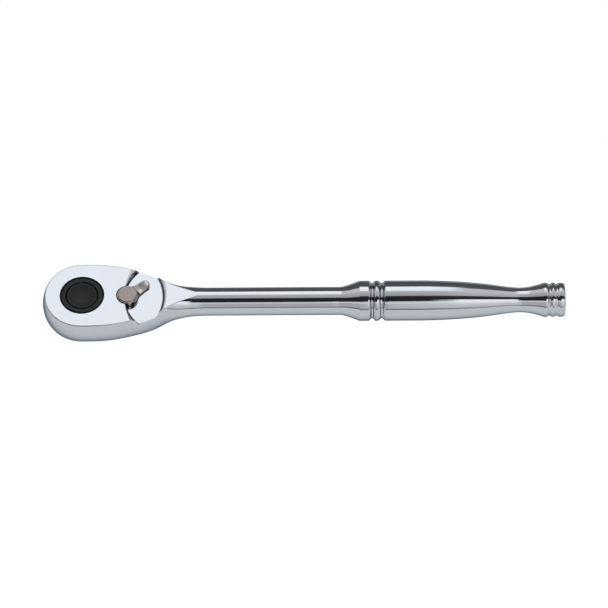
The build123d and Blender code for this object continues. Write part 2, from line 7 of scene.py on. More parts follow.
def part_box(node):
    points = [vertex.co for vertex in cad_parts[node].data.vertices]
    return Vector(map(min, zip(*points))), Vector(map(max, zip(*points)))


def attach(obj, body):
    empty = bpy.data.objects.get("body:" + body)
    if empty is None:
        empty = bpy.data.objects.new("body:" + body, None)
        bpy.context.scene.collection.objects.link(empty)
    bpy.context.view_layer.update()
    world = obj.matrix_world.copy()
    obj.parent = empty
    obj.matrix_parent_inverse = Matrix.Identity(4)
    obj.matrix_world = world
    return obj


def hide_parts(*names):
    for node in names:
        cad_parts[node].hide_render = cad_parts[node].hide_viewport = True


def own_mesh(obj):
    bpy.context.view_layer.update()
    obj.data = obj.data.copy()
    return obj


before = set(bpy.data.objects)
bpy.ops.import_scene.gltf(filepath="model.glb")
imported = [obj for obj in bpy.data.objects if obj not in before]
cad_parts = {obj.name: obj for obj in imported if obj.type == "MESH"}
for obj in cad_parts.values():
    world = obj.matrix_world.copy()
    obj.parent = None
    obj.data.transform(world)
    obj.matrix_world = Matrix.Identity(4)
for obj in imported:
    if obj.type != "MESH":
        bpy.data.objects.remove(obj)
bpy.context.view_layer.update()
scene = bpy.context.scene

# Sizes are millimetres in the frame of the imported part: Z is the drive axis, X runs along the handle.
MM = 0.001

# ---- Sizes of the tool, as the CAD has them ----
HANDLE_Z = 17.0
HEAD_TOP = 21.9
HEAD_BOTTOM = 11.0
SHAFT_R = 5.4
GRIP_R = 7.7
KNOB_R = 6.6
END_X = 184.7
NECK_END = 48.0
PIVOT_X = 17.3
LEVER_REST = radians(39.0)
# half-widths of the head and neck in plan: place, at the face's edge, at mid height
OUTLINE = [
    (-4.0, 14.12, 15.27),
    (0.0, 14.15, 15.3),
    (4.0, 14.12, 15.27),
    (8.0, 13.93, 15.08),
    (12.0, 13.42, 14.57),
    (16.0, 12.6, 13.75),
    (20.0, 11.55, 12.7),
    (24.0, 10.3, 11.45),
    (28.0, 8.6, 9.8),
    (32.0, 6.1, 7.8),
    (36.0, 3.9, 6.6),
    (40.0, 2.2, 5.87),
    (44.0, 0.75, 5.53),
    (NECK_END, 0.05, SHAFT_R),
    (52.0, 0.05, SHAFT_R),
]
RAMP = (26.0, 46.0)        # where the head's flats slope to the shaft
EDGE_BREAKS = (0.32, 0.6)  # width of the head's broken edges, above and below
EDGE_FADE = (30.0, 44.0)   # where they run out on the neck
EVEN_FROM = 43.0           # where the points start to spread evenly round the neck

# ---- The openings in the head ----
POCKET_FLOOR = 19.9
POCKET_WALL_X = 11.4       # centre and radius of the lever pocket's wall on the handle's side
POCKET_WALL = 19.5
FILLET = 0.3               # at the foot of that wall
RIM_ROUND = 1.5            # at its rim
RIM_ABOVE = 0.05           # the rounding ends this far above the face
# the pocket's wall on the button's side: centre and radius of its arc, at the foot and the top
POCKET_LEFT = ((32.1, 15.9), (44.0, 27.7))
# the slope of that wall: height above the floor, share of the way from its foot to its top
LEFT_SLOPE = [(0.0, 0.0), (1.2, 0.1), (1.56, 0.18), (1.74, 0.27), (1.81, 0.38), (2.0, 1.0)]
LEFT_BREAK = 0.25          # width and height of its broken upper edge
RELIEF = (0.4, 0.4)        # width and depth of the groove along its foot
RELIEF_REACH = 0.98        # half of the groove's arc, in radians
HUB_BORE = 8.55
BOSS_SEAT = (4.3, 19.45)   # radius, and height of its floor
SPINDLE_BORE = 2.65
GEAR_CAVITY = 10.35
PAWL_CAVITY = (11.6, 9.65) # place along X, and radius
SCREW_BORE = 1.02
ROOF_GAP = 0.1             # above the pawl and the screws
PAST = 1.0                 # a cut reaches this far past the face it opens
OVERLAP = 0.5              # and this far into a cavity it meets
PLATE_EDGE = 0.8           # from the head's face to the edge of the cover plate's seat
PLATE_END = 30.05
PLATE_SIDE = 24.0          # where the seat's sides end and its rounded nose starts

# ---- Mesh density ----
FLAT_STEPS = 4             # across half of a flat
EDGE_STEPS = 5             # round a broken edge
SIDE_STEPS = 38            # down one side
DRUM_STEPS = 90            # round the head's left end
RING_STEPS = 128           # round a turned piece
COIL_STEPS = (36, 12)      # along one turn of a spring, and round its wire


# ---- Small helpers ----
def ease(t):
    """0 to 1 with flat ends."""
    t = min(1.0, max(0.0, t))
    return t * t * (3 - 2 * t)


def smooth_value(points, x, column):
    """A smooth curve through a table's points, read at x."""
    spans = zip(points, points[1:])
    index = next((i for i, (p, q) in enumerate(spans) if p[0] <= x <= q[0]), len(points) - 2)
    p, q = points[index], points[index + 1]
    before = points[max(0, index - 1)]
    after = points[min(len(points) - 1, index + 2)]
    width = q[0] - p[0]
    slope_p = (q[column] - before[column]) / (q[0] - before[0])
    slope_q = (after[column] - p[column]) / (after[0] - p[0])
    t = (x - p[0]) / width
    return (
        (2 * t ** 3 - 3 * t ** 2 + 1) * p[column]
        + (t ** 3 - 2 * t ** 2 + t) * width * slope_p
        + (3 * t ** 2 - 2 * t ** 3) * q[column]
        + (t ** 3 - t ** 2) * width * slope_q
    )


def stepped(start, end, step):
    """Places from start to end, step apart."""
    return [start + step * i for i in range(round((end - start) / step) + 1)]


def rounded(corners, steps=5):
    """A polyline through (x, y, round) corners, each corner rounded off by its own size."""
    line = []
    for index, (x, y, size) in enumerate(corners):
        if index in (0, len(corners) - 1) or size == 0:
            line.append((x, y))
            continue
        here = Vector((x, y))
        back = (Vector(corners[index - 1][:2]) - here).normalized() * size
        on = (Vector(corners[index + 1][:2]) - here).normalized() * size
        for step in range(steps + 1):
            t = step / steps
            line.append(tuple(here + back * (1 - t) ** 2 + on * t ** 2))
    return line


def make_object(name, verts, faces, material):
    """A mesh object from points in millimetres."""
    mesh = bpy.data.meshes.new(name)
    mesh.from_pydata([tuple(MM * c for c in v) for v in verts], [], faces)
    mesh.materials.append(material)
    obj = bpy.data.objects.new(name, mesh)
    scene.collection.objects.link(obj)
    clean = bmesh.new()
    clean.from_mesh(mesh)
    bmesh.ops.remove_doubles(clean, verts=clean.verts, dist=1e-7)
    bmesh.ops.recalc_face_normals(clean, faces=clean.faces)
    clean.to_mesh(mesh)
    clean.free()
    return obj


def bands(rows, count):
    """The faces between closed rows of points, count to a row."""
    faces = []
    for row in range(rows - 1):
        low, high = row * count, (row + 1) * count
        for i in range(count):
            j = (i + 1) % count
            faces.append((low + i, low + j, high + j, high + i))
    return faces


def turned(name, profile, material, centre=(0.0, 0.0), steps=RING_STEPS):
    """A closed solid turned about an upright axis from (radius, z) points."""
    verts = []
    for radius, z in profile:
        for step in range(steps):
            turn = 2 * pi * step / steps
            verts.append((centre[0] + radius * cos(turn), centre[1] + radius * sin(turn), z))
    faces = bands(len(profile), steps)
    faces.append(tuple(range(steps)))
    faces.append(tuple(range((len(profile) - 1) * steps, len(profile) * steps)))
    return make_object(name, verts, faces, material)


def hoop(name, section, material, steps=RING_STEPS):
    """A closed ring about the drive axis from the (radius, z) corners of its section."""
    count = len(section)
    verts, faces = [], []
    for step in range(steps):
        turn = 2 * pi * (step + 0.5) / steps
        verts += [(radius * cos(turn), radius * sin(turn), z) for radius, z in section]
        here, after = step * count, (step + 1) % steps * count
        for i in range(count):
            j = (i + 1) % count
            faces.append((here + i, here + j, after + j, after + i))
    return make_object(name, verts, faces, material)


def stacked(name, layers, material):
    """A closed solid from outlines of equal length, lowest first."""
    count = len(layers[0])
    verts = [v for layer in layers for v in layer]
    faces = [tuple(range(count)), tuple(range(len(verts) - count, len(verts)))]
    faces += bands(len(layers), count)
    return make_object(name, verts, faces, material)


def combine(obj, tools, operation):
    """Cuts the tools out of obj, or joins them to it, and removes the tools."""
    for tool in tools:
        step = obj.modifiers.new("step", "BOOLEAN")
        step.operation = operation
        step.solver = "EXACT"
        step.object = tool
    result = bpy.data.meshes.new_from_object(obj.evaluated_get(bpy.context.evaluated_depsgraph_get()))
    obj.modifiers.clear()
    obj.data = result
    for tool in tools:
        bpy.data.objects.remove(tool)


def finish_surface(obj, crease=28.0):
    """Smooth shading that stays crisp where two faces meet at a real edge."""
    work = bmesh.new()
    work.from_mesh(obj.data)
    bmesh.ops.dissolve_degenerate(work, edges=work.edges, dist=1e-7)
    for face in work.faces:
        face.smooth = True
    for edge in work.edges:
        edge.smooth = edge.calc_face_angle(0.0) < radians(crease)
    work.to_mesh(obj.data)
    work.free()
    weighted = obj.modifiers.new("even_normals", "WEIGHTED_NORMAL")
    weighted.keep_sharp = True
    weighted.weight = 80


# ---- Materials ----
def material(name):
    """A new node material, its Principled shader, and a function that adds nodes."""
    made = bpy.data.materials.new(name)
    made.use_nodes = True
    tree = made.node_tree
    shader = tree.nodes["Principled BSDF"]

    def add(kind, links=(), **values):
        node = tree.nodes.new(kind)
        for key, value in values.items():
            if key in node.inputs:
                node.inputs[key].default_value = value
            else:
                setattr(node, key, value)
        for source, target in links:
            tree.links.new(source, node.inputs[target])
        return node

    return made, shader, add, tree.links.new


def mixed(add, factor, low, high):
    """A colour between low and high, by a factor output."""
    ramp = add("ShaderNodeValToRGB", [(factor, "Fac")])
    ramp.color_ramp.elements[0].color = (*low, 1)
    ramp.color_ramp.elements[1].color = (*high, 1)
    return ramp


def ranged(add, factor, low, high, start=0.3, end=0.7):
    """A number between low and high, by a factor output."""
    node = add("ShaderNodeMapRange", [(factor, "Value")])
    node.inputs["From Min"].default_value = start
    node.inputs["From Max"].default_value = end
    node.inputs["To Min"].default_value = low
    node.inputs["To Max"].default_value = high
    return node.outputs["Result"]


def metal(name, low, high, rough, grain, bump, stretch=(1, 1, 1), metallic=1.0):
    """Metal with a slightly uneven colour and polish, and a fine surface texture.

    low and high are the colours, rough the roughness range, grain the size of the
    texture in millimetres, and bump its height in millimetres.
    """
    made, shader, add, link = material(name)
    place = add("ShaderNodeTexCoord")
    stretched = add("ShaderNodeMapping", [(place.outputs["Object"], "Vector")])
    stretched.inputs["Scale"].default_value = stretch
    along = [(stretched.outputs["Vector"], "Vector")]
    broad = add("ShaderNodeTexNoise", along, Scale=180.0, Detail=3.0)
    fine = add("ShaderNodeTexNoise", along, Scale=1 / (grain * MM), Detail=2.0)
    colour = mixed(add, broad.outputs["Fac"], low, high)
    link(colour.outputs["Color"], shader.inputs["Base Color"])
    link(ranged(add, broad.outputs["Fac"], *rough), shader.inputs["Roughness"])
    relief = add("ShaderNodeBump", [(fine.outputs["Fac"], "Height")], Strength=1.0)
    relief.inputs["Distance"].default_value = bump * MM
    link(relief.outputs["Normal"], shader.inputs["Normal"])
    shader.inputs["Metallic"].default_value = metallic
    return made


chrome = metal(
    "polished_chrome", (0.396, 0.412, 0.449), (0.421, 0.437, 0.475),
    rough=(0.045, 0.075), grain=1.1, bump=0.00025,
)
lever_chrome = metal(
    "cast_chrome", (0.28, 0.26, 0.245), (0.4, 0.385, 0.37),
    rough=(0.05, 0.1), grain=0.35, bump=0.0012,
)
black_oxide = metal(
    "black_oxide", (0.005, 0.005, 0.0055), (0.011, 0.011, 0.012),
    rough=(0.25, 0.34), grain=0.12, bump=0.002, metallic=0.0,
)
ground_steel = metal(
    "ground_steel", (0.292, 0.25, 0.228), (0.396, 0.348, 0.322),
    rough=(0.42, 0.55), grain=0.10, bump=0.006,
)
tool_steel = metal(
    "tool_steel", (0.26, 0.26, 0.27), (0.36, 0.36, 0.37),
    rough=(0.25, 0.38), grain=0.10, bump=0.003,
)
spring_steel = metal(
    "spring_steel", (0.42, 0.42, 0.44), (0.52, 0.52, 0.54),
    rough=(0.18, 0.30), grain=0.2, bump=0.001,
)
cover_steel = metal(
    "cover_steel", (0.44, 0.45, 0.47), (0.53, 0.54, 0.56),
    rough=(0.20, 0.30), grain=0.18, bump=0.0015, stretch=(0.06, 1, 1),
)
screw_steel = metal(
    "screw_steel", (0.05, 0.05, 0.055), (0.09, 0.09, 0.095),
    rough=(0.30, 0.42), grain=0.12, bump=0.002,
)
black_oxide.node_tree.nodes["Principled BSDF"].inputs["Specular IOR Level"].default_value = 0.19
# chrome darkens a little where it is seen edge on
chrome.node_tree.nodes["Principled BSDF"].inputs["Specular Tint"].default_value = (0.2, 0.22, 0.27, 1)


# ---- The forged head and handle ----
def section_sizes(x):
    """Face half-width, greatest half-width, top and bottom of the section at x."""
    rise = ease((x - RAMP[0]) / (RAMP[1] - RAMP[0]))
    top = HEAD_TOP + rise * (HANDLE_Z + SHAFT_R - HEAD_TOP)
    bottom = HEAD_BOTTOM + rise * (HANDLE_Z - SHAFT_R - HEAD_BOTTOM)
    return smooth_value(OUTLINE, x, 1), smooth_value(OUTLINE, x, 2), top, bottom


def half_section(x):
    """(y, z) points down the +Y side at x, from the top's middle line to the bottom's."""
    face, widest, top, bottom = section_sizes(x)
    middle, half = (top + bottom) / 2, (top - bottom) / 2
    sag = widest - face
    radius = (half ** 2 + sag ** 2) / (2 * sag)
    centre = widest - radius
    end = asin(half / radius)
    fade = 1 - ease((x - EDGE_FADE[0]) / (EDGE_FADE[1] - EDGE_FADE[0]))
    breaks = [min(size * fade, 0.6 * face) for size in EDGE_BREAKS]
    low, high = -end + breaks[1] / radius, end - breaks[0] / radius

    def on_side(turn):
        return (centre + radius * cos(turn), radius * sin(turn))

    def broken(start, finish, corner):
        rows = []
        for step in range(1, EDGE_STEPS):
            t = step / EDGE_STEPS
            rows.append(
                tuple(
                    (1 - t) ** 2 * s + 2 * t * (1 - t) * c + t ** 2 * f
                    for s, c, f in zip(start, corner, finish)
                )
            )
        return rows

    top_edge, low_edge = (face - breaks[0], half), (face - breaks[1], -half)
    points = [(top_edge[0] * i / FLAT_STEPS, half) for i in range(FLAT_STEPS + 1)]
    points += broken(top_edge, on_side(high), (face, half))
    points += [on_side(high + (low - high) * i / SIDE_STEPS) for i in range(SIDE_STEPS + 1)]
    points += broken(on_side(low), low_edge, (face, -half))
    points += [(low_edge[0] * (1 - i / FLAT_STEPS), -half) for i in range(FLAT_STEPS + 1)]
    # towards the round shaft, the points spread evenly round the section
    spread = ease((x - EVEN_FROM) / (NECK_END - EVEN_FROM))
    if spread > 0:
        count = len(points) - 1
        even = []
        for i, (y, z) in enumerate(points):
            turn = (1 - spread) * atan2(y, z) + spread * pi * i / count
            reach = centre * sin(turn) + sqrt(radius ** 2 - (centre * cos(turn)) ** 2)
            even.append((reach * sin(turn), reach * cos(turn)))
        points = even
    return [(y, middle + z) for y, z in points]


def ring(x, half):
    """A whole ring at x from its +Y half."""
    return [(x, y, z) for y, z in half] + [(x, -y, z) for y, z in reversed(half[1:-1])]


def handle_profile():
    """(x, radius) along the handle, from the neck's end to the middle of the end face."""
    flare = [(96.0, SHAFT_R), (98.9, 5.42), (101.0, 5.88), (103.4, 6.72), (105.7, 7.55)]
    grip = [
        (127.0, GRIP_R),
        (132.0, 7.68),
        (138.0, 7.48),
        (144.4, 7.16),
        (150.0, 6.7),
        (156.0, 6.05),
        (162.0, 5.2),
        (165.5, 4.82),
        (168.3, 4.76),
        (171.0, 5.04),
        (174.2, 5.8),
        (176.4, 6.5),
    ]
    profile = [(x, SHAFT_R) for x in stepped(NECK_END + 1, flare[0][0], 1)]
    profile += [(x, smooth_value(flare, x, 1)) for x in stepped(98.0, 105.5, 0.3)]
    profile += rounded(
        [
            (105.7, 7.55, 0),
            (106.0, GRIP_R, 0.25),
            (109.75, GRIP_R, 0.45),
            (110.85, 6.45, 0.7),
            (112.0, 7.75, 0.65),
            (113.3, 7.75, 0.65),
            (114.55, 6.5, 0.7),
            (115.75, GRIP_R, 0.45),
            (117.0, GRIP_R, 0),
        ]
    )
    profile += [(x, GRIP_R) for x in stepped(118.0, grip[0][0], 1)]
    profile += [(x, smooth_value(grip, x, 1)) for x in stepped(128.0, 176.0, 0.4)]
    profile += rounded(
        [
            (176.4, 6.5, 0),
            (176.9, KNOB_R, 0.3),
            (177.8, KNOB_R, 0.4),
            (178.8, 5.85, 0.5),
            (179.8, 6.65, 0.5),
            (180.5, 6.6, 0.5),
            (181.5, 5.95, 0.5),
            (182.5, 6.6, 0.5),
            (END_X, 6.5, 1.2),
            (END_X, 4.4, 0),
        ]
    )
    return profile


def forging():
    """Outer skin of the head and handle, one closed mesh."""
    rings = [ring(x, half_section(x)) for x in stepped(0.0, NECK_END, 0.5)]
    count = len(rings[0])
    for x, radius in handle_profile():
        turns = [2 * pi * i / count for i in range(count)]
        rings.append([(x, radius * sin(turn), HANDLE_Z + radius * cos(turn)) for turn in turns])
    verts = [v for one in rings for v in one]
    faces = bands(len(rings), count)
    faces.append(tuple(range(len(verts) - count, len(verts))))
    # the left end is half of a drum, turned about the drive axis
    half = count // 2
    side = list(range(FLAT_STEPS, half - FLAT_STEPS + 1))
    columns = [side]
    profile = half_section(0.0)
    for step in range(1, DRUM_STEPS):
        turn = pi / 2 + pi * step / DRUM_STEPS
        columns.append([len(verts) + i for i in range(len(side))])
        for i in side:
            out, z = profile[i]
            verts.append((out * cos(turn), out * sin(turn), z))
    columns.append([count - i for i in side])
    for one, other in zip(columns, columns[1:]):
        for i in range(len(side) - 1):
            faces.append((one[i], other[i], other[i + 1], one[i + 1]))
    for middle, outer, sign in ((0, 0, 1), (half, -1, -1)):
        edge = [column[outer] for column in columns]
        first = [(middle + sign * i) % count for i in range(FLAT_STEPS)]
        last = [(middle - sign * i) % count for i in range(FLAT_STEPS)]
        faces.append(tuple(first + edge[:2]))
        faces.append(tuple(last + edge[:-3:-1]))
        faces += [(middle, one, other) for one, other in zip(edge[1:-2], edge[2:-1])]
    return make_object("forged_handle", verts, faces, chrome)


def circle_points(x, y, radius, z, steps=RING_STEPS):
    """An outline of a circle at height z, turned so that no point falls on the middle line."""
    turns = [2 * pi * (i + 0.37) / steps for i in range(steps)]
    return [(x + radius * cos(turn), y + radius * sin(turn), z) for turn in turns]


def pocket_outline(wall, rise, shift, z, steps=80):
    """The lever pocket's outline at z, between its walls on the handle's and button's sides.

    wall is the radius of the wall on the handle's side. rise says how far the sloping wall
    on the button's side is from its foot, 0, to its top, 1; shift moves it away from the
    handle.
    """
    (foot_x, foot), (top_x, top) = POCKET_LEFT
    left_x = foot_x + (top_x - foot_x) * rise - shift
    left = foot + (top - foot) * rise
    gap = left_x - POCKET_WALL_X
    meet = (gap ** 2 + wall ** 2 - left ** 2) / (2 * gap)
    half = sqrt(wall ** 2 - meet ** 2)
    turn_wall = atan2(half, meet)
    turn_left = atan2(half, gap - meet)
    points = []
    for i in range(steps):
        turn = turn_wall * (2 * i / steps - 1)
        points.append((POCKET_WALL_X + wall * cos(turn), wall * sin(turn), z))
    for i in range(steps):
        turn = turn_left * (1 - 2 * i / steps)
        points.append((left_x - left * cos(turn), left * sin(turn), z))
    return points


def lever_pocket():
    """The space of the lever pocket: filleted at the floor, with a rounded rim."""

    def rise_at(z):
        """How far the sloping wall has come from its foot to its top, at height z."""
        up = z - POCKET_FLOOR
        for (low, first), (high, last) in zip(LEFT_SLOPE, LEFT_SLOPE[1:]):
            if up <= high:
                return first + (last - first) * (up - low) / (high - low)
        return 1.0

    layers = []
    for step in range(8):
        turn = pi / 2 * step / 7
        z = POCKET_FLOOR + FILLET * (1 - cos(turn))
        layers.append(pocket_outline(POCKET_WALL - FILLET * (1 - sin(turn)), rise_at(z), 0, z))
    rim = HEAD_TOP + RIM_ABOVE
    for step in range(11):
        turn = pi / 2 * step / 10
        z = rim - RIM_ROUND * (1 - sin(turn))
        wall = POCKET_WALL + RIM_ROUND * (1 - cos(turn))
        shift = LEFT_BREAK * ease((z - rim + LEFT_BREAK) / LEFT_BREAK)
        layers.append(pocket_outline(wall, rise_at(z), shift, z))
    layers.append(pocket_outline(POCKET_WALL + RIM_ROUND, 1.0, LEFT_BREAK + 0.05, rim + 1.5))
    return stacked("pocket", layers, chrome)


def relief_groove():
    """The space of the narrow groove along the foot of the pocket's sloping wall."""
    left_x, left = POCKET_LEFT[0]
    turns = [RELIEF_REACH * (2 * i / 80 - 1) for i in range(81)]
    plan = [(left_x - left * cos(t), left * sin(t)) for t in turns]
    plan += [(x + RELIEF[0], y) for x, y in reversed(plan)]
    layers = [[(x, y, z) for x, y in plan] for z in (POCKET_FLOOR - RELIEF[1], POCKET_FLOOR + 0.1)]
    return stacked("relief", layers, chrome)


def cover_seat():
    """The space of the cover plate, a little larger than the plate."""
    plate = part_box("cover_plate")
    top = plate[1][2] / MM
    edge = [(x, smooth_value(OUTLINE, x, 1) - PLATE_EDGE) for x in stepped(0.0, PLATE_SIDE, 0.5)]
    end_x, end_y = edge[-1]
    reach = PLATE_END - end_x
    radius = (end_y ** 2 + reach ** 2) / (2 * reach)
    spread = asin(end_y / radius)
    nose = [spread * (1 - i / 20) for i in range(1, 40)]
    plan = edge + [(PLATE_END - radius + radius * cos(t), radius * sin(t)) for t in nose]
    plan += [(x, -y) for x, y in reversed(edge)]
    turns = [-pi / 2 - pi * i / 60 for i in range(1, 60)]
    plan += [(edge[0][1] * cos(t), edge[0][1] * sin(t)) for t in turns]
    layers = [[(x, y, z) for x, y in plan] for z in (HEAD_BOTTOM - PAST, top)]
    return stacked("seat", layers, chrome)


def drilled(x, y, radius, low, high, steps=RING_STEPS):
    """The space of a round hole."""
    layers = [circle_points(x, y, radius, z, steps) for z in (low, high)]
    return stacked("hole", layers, chrome)


def build_handle():
    """The forging, with every opening cut in it."""
    body = forging()
    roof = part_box("pawl")[1][2] / MM + ROOF_GAP
    seat, seat_z = BOSS_SEAT
    cuts = [
        lever_pocket(),
        relief_groove(),
        cover_seat(),
        drilled(0, 0, HUB_BORE, roof - OVERLAP, HEAD_TOP + PAST),
        drilled(PIVOT_X, 0, seat, seat_z, HEAD_TOP + PAST),
        drilled(PIVOT_X, 0, SPINDLE_BORE, roof - OVERLAP, 20.5, steps=64),
        drilled(0, 0, GEAR_CAVITY, HEAD_BOTTOM, roof),
        drilled(PAWL_CAVITY[0], 0, PAWL_CAVITY[1], HEAD_BOTTOM, roof),
    ]
    for number in (1, 2, 3):
        low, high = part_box(f"cover_screw_{number}")
        middle = (low + high) / 2 / MM
        top = high[2] / MM + ROOF_GAP
        cuts.append(drilled(middle[0], middle[1], SCREW_BORE, HEAD_BOTTOM, top, steps=32))
    combine(body, cuts, "DIFFERENCE")
    finish_surface(body)
    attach(body, "handle")
    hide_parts("handle_body")


build_handle()


# ---- The reversing lever: round boss and scooped tab ----
TAB_ROOT = 2.8             # radius at the boss that the tab's sides spread from
TAB_TIP = (8.45, 1.8)      # distance of the round tip's centre from the pivot, and its radius
TAB_Z = (20.2, 21.9)
TAB_SIDE = 0.35            # height of its upright sides
TAB_EDGE = 0.55            # drop of its rounded edges
HOLLOW = 1.2               # depth of the hollow in its top
HOLLOW_START = (3.0, 1.6)  # where it starts, from the pivot, and over what length it deepens
HOLLOW_END = (6.0, 3.0)    # where it ends and over what length, towards the raised tip
HOLLOW_LEFT = 0.3          # share of its depth that is left there
HOLLOW_WIDTH = (-0.35, 1.35)  # its middle and half-width, across the tab


def build_lever():
    """Boss with a recess for the spindle's disc, and a tab that narrows to a raised tip."""
    boss = turned(
        "lever_boss",
        rounded(
            [
                (0.0, 19.5, 0),
                (3.9, 19.5, 0.1),
                (4.0, 19.6, 0.1),
                (4.0, 22.1, 0.12),
                (3.82, 22.32, 0.12),
                (3.66, 22.32, 0.05),
                (3.64, 21.92, 0),
                (0.0, 21.92, 0),
            ]
        ),
        lever_chrome,
        (PIVOT_X, 0.0),
    )
    tip_x, tip_r = TAB_TIP
    base, top = TAB_Z
    lean = asin((TAB_ROOT - tip_r) / tip_x)
    plan = []
    for i in range(25):
        t = i / 24
        start = (TAB_ROOT * sin(lean), TAB_ROOT * cos(lean))
        end = (tip_x + tip_r * sin(lean), tip_r * cos(lean))
        plan.append((start[0] + (end[0] - start[0]) * t, start[1] + (end[1] - start[1]) * t))
    for i in range(1, 24):
        turn = (pi / 2 - lean) * (1 - 2 * i / 24)
        plan.append((tip_x + tip_r * cos(turn), tip_r * sin(turn)))
    plan += [(x, -y) for x, y in reversed(plan[:25])]

    def height(along, across):
        """Top of the tab: hollowed along its middle, deepest a little to its right."""
        deepens = ease((along - HOLLOW_START[0]) / HOLLOW_START[1])
        ends = ease((along - HOLLOW_END[0]) / HOLLOW_END[1])
        bow = 1 - ((across - HOLLOW_WIDTH[0]) / HOLLOW_WIDTH[1]) ** 2
        return top - 0.05 - HOLLOW * deepens * (1 - (1 - HOLLOW_LEFT) * ends) * bow

    layers = []
    for z in (base, base + TAB_SIDE):
        layers.append([(x, y, z) for x, y in plan])
    for step in range(1, 15):
        t = step / 14
        inward = 0.6 * t ** 2 + 0.4 * t ** 3
        layer = []
        for x, y in plan:
            spine = min(max(x, 0.5), tip_x)
            px, py = spine + (x - spine) * (1 - inward), y * (1 - inward)
            drop = TAB_EDGE * (1 - sqrt(max(0.0, 1 - max(0.0, 1 - inward / 0.3) ** 2)))
            layer.append((px, py, height(px, py / TAB_ROOT) - drop))
        layers.append(layer)
    tab = stacked("lever_tab", layers, lever_chrome)
    tab.matrix_world = Matrix.Translation((PIVOT_X * MM, 0, 0)) @ Matrix.Rotation(LEVER_REST, 4, "Z")
    bpy.context.view_layer.update()
    combine(boss, [tab], "UNION")
    boss.name = "lever_body"
    finish_surface(boss, crease=40.0)
    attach(boss, "selector")
    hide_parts("reversing_lever")


build_lever()


# ---- The release button: a shallow dish inside a narrow raised rim ----
def build_button():
    """Button with a broken edge above, and a boss bored for the pin below."""
    dish_r, dish_edge, dish_depth = 4.6, 21.55, 0.45
    profile = [
        (1.75, 20.5, 0),
        (1.75, 17.5, 0),
        (2.4, 17.5, 0),
        (2.4, 19.62, 0),
        (6.0, 19.62, 0),
        (6.0, 21.35, 0.15),
        (5.7, 21.75, 0.2),
        (4.75, 21.75, 0.12),
        (dish_r, dish_edge, 0),
    ]
    dish = [dish_r * (1 - i / 12) for i in range(1, 12)]
    dish = [(r, dish_edge - dish_depth * (1 - (r / dish_r) ** 2)) for r in dish]
    button = turned("button_body", rounded(profile) + dish, black_oxide)
    finish_surface(button, crease=40.0)
    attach(button, "release")
    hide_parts("release_button")


build_button()


# ---- The drive gear: the CAD's own, with the outer edge of its upper hub turned down ----
def build_gear():
    """The gear's mesh with a sloping ring cut off round the hub's top."""
    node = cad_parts["drive_gear"]
    gear = bpy.data.objects.new("gear_body", node.data.copy())
    scene.collection.objects.link(gear)
    gear.matrix_world = node.matrix_world
    gear.data.materials.clear()
    gear.data.materials.append(black_oxide)
    inner, outer, drop = 7.65, 9.0, 0.78
    above = HEAD_TOP + PAST
    wedge = [(inner, HEAD_TOP), (outer, HEAD_TOP - drop), (outer, above), (inner, above)]
    cut = hoop("hub_edge", wedge, black_oxide)
    bpy.context.view_layer.update()
    combine(gear, [cut], "DIFFERENCE")
    finish_surface(gear)
    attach(gear, "drive")
    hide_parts("drive_gear")


build_gear()


# ---- The two coil springs ----
def coil(name, foot, out, radius, wire, length, turns):
    """A round-wire spring from foot, in millimetres, along the direction out."""
    side = out.orthogonal().normalized()
    other = out.cross(side)
    steps, around = int(COIL_STEPS[0] * turns), COIL_STEPS[1]
    verts = []
    for i in range(steps + 1):
        turn = 2 * pi * turns * i / steps
        radial = side * cos(turn) + other * sin(turn)
        middle = foot + radial * radius + out * (wire + (length - 2 * wire) * i / steps)
        for j in range(around):
            bend = 2 * pi * j / around
            verts.append(middle + radial * wire * cos(bend) + out * wire * sin(bend))
    faces = bands(steps + 1, around)
    faces.append(tuple(range(around)))
    faces.append(tuple(range(len(verts) - around, len(verts))))
    spring = make_object(name, verts, faces, spring_steel)
    finish_surface(spring, crease=50.0)
    return spring


def build_springs():
    """Each spring rides with the piece it stands on."""
    up = Vector((0, 0, 1))
    inward = Vector((-cos(LEVER_REST), -sin(LEVER_REST), 0))
    plans = [
        {
            "names": ("button", "drive", "button_press"),
            "place": (Vector((0, 0, 13.5)), up),
            "sizes": {"radius": 3.4, "wire": 0.3, "length": 6.1, "turns": 4.5},
            "travel": 1.8,
        },
        {
            "names": ("plunger", "selector", "plunger_slide"),
            "place": (Vector((PIVOT_X, 0, 15.45)) - inward * 1.9, inward),
            "sizes": {"radius": 0.55, "wire": 0.12, "length": 2.5, "turns": 6},
            "travel": 0.7,
        },
    ]
    for plan in plans:
        name, body, joint = plan["names"]
        foot, out = plan["place"]
        spring = coil(f"{name}_coil", foot, out, **plan["sizes"])
        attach(spring, body)
        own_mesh(spring)
        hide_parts(f"{name}_spring")


build_springs()

# ---- Materials of the CAD pieces that stay ----
FINISHES = {
    "cover_plate": cover_steel,
    "cover_screw_1": screw_steel,
    "cover_screw_2": screw_steel,
    "cover_screw_3": screw_steel,
    "release_pin": tool_steel,
    "socket_detent_ball": spring_steel,
    "pawl": tool_steel,
    "pawl_plunger": tool_steel,
    "lever_spindle": ground_steel,
    "lever_retaining_ring": spring_steel,
}
for node, finish in FINISHES.items():
    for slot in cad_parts[node].material_slots:
        slot.link = "OBJECT"
        slot.material = finish

# ---- Floor and studio light ----
FLOOR_SLOPE = radians(3.4)   # the tool lies on its drive square and its grip
FLOOR_TOUCH = 4.3            # where the square rests on it, along X
FLOOR_GAP = 0.02
FLOOR_SIZE = (4000.0, 75.0)  # its reach to the front and sides, and behind the tool


